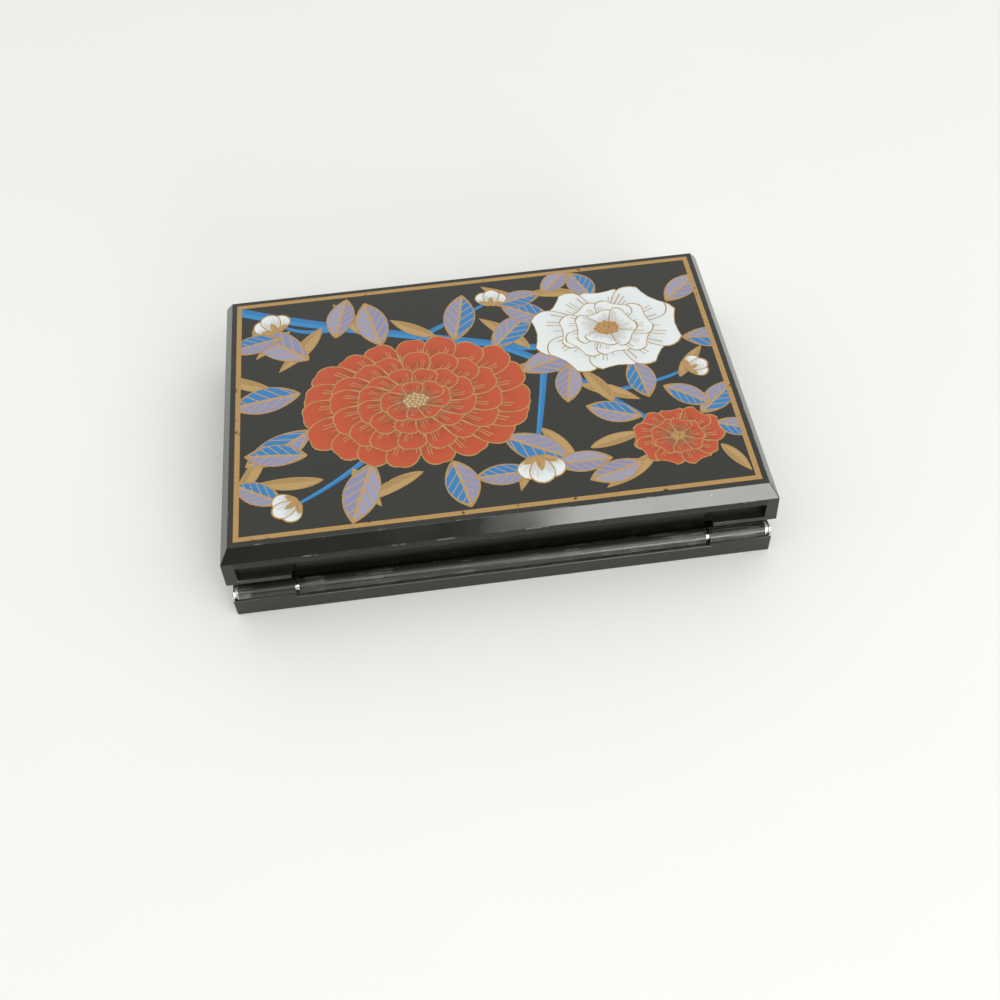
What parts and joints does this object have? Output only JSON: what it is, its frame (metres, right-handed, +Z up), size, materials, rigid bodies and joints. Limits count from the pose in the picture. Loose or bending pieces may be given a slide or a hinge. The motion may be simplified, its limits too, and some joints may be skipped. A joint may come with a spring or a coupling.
{
  "type": "trinket box",
  "caption": "Shallow lacquered trinket box with a chamfered hinged lid, a barrel hinge along the back edge, a mirror in the lid and a velvet-lined tray.",
  "frame": {"origin": "centre of the underside, on the surface that the box stands on", "axes": "+X along the hinge, +Y towards the hinge side, +Z up"},
  "size_m": [0.11, 0.075, 0.0197],
  "materials": {
    "lacquer": "black lacquer",
    "pin_steel": "bright turned steel",
    "mirror": "silvered glass",
    "foam": "adhesive foam",
    "card": "grey board",
    "velvet": "short pile velvet"
  },
  "bodies": {
    "base": {"base_shell": "lacquer", "left_hinge_pin": "pin_steel", "right_hinge_pin": "pin_steel", "left_pin_washer": "pin_steel", "right_pin_washer": "pin_steel", "floor_card": "card", "floor_pad": "velvet", "front_lining": "velvet", "back_lining": "velvet", "left_lining": "velvet", "right_lining": "velvet"},
    "lid": {"lid_shell": "lacquer", "mirror_glass": "mirror", "mirror_pad": "foam"}
  },
  "joints": [
    {"name": "lid_hinge", "type": "hinge", "parent": "base", "child": "lid", "pos_m": [0, 0.0354, 0.005], "axis": [-1, 0, 0], "range_deg": [0, 105]}
  ]
}
